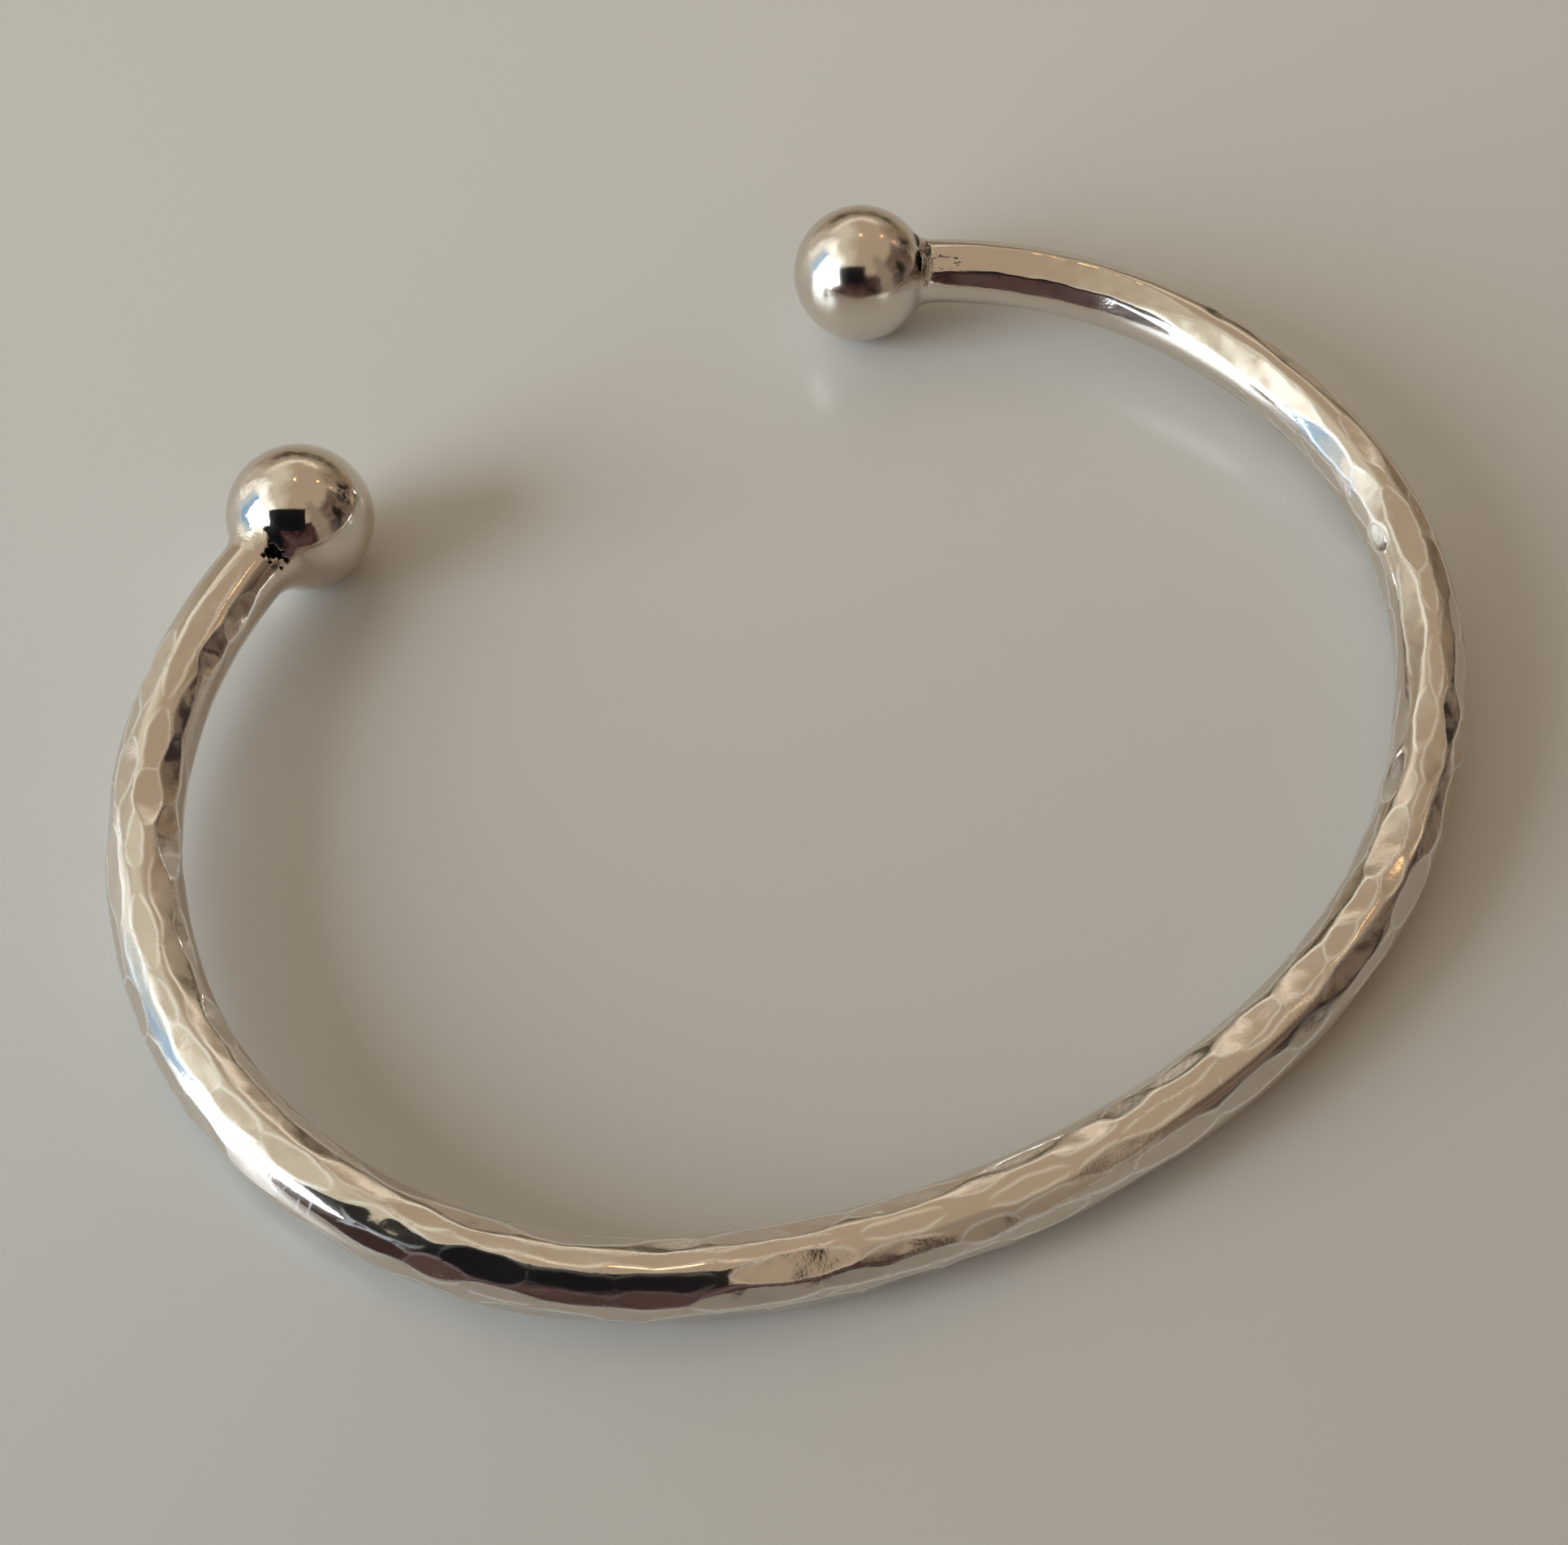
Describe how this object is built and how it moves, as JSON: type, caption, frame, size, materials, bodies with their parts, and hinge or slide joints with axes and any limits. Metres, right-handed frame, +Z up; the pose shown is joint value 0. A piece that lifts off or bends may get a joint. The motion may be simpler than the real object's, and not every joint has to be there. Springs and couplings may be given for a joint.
{
  "type": "hammered silver cuff bracelet with ball ends",
  "caption": "Open oval cuff bracelet of hammered round silver bar, with a polished ball soldered on each end.",
  "frame": {"origin": "on the table, under the middle of the cuff's outline as it lies on its side", "axes": "+Z up, through the wrist hollow; +Y towards the opening between the balls; +X across the wide way of the oval"},
  "size_m": [0.075, 0.0604, 0.0079],
  "materials": {
    "silver": "polished sterling silver over hammer marks, with fine scratches and a dark pit in one solder joint"
  },
  "bodies": {
    "root": {"cuff": "silver"}
  },
  "joints": []
}
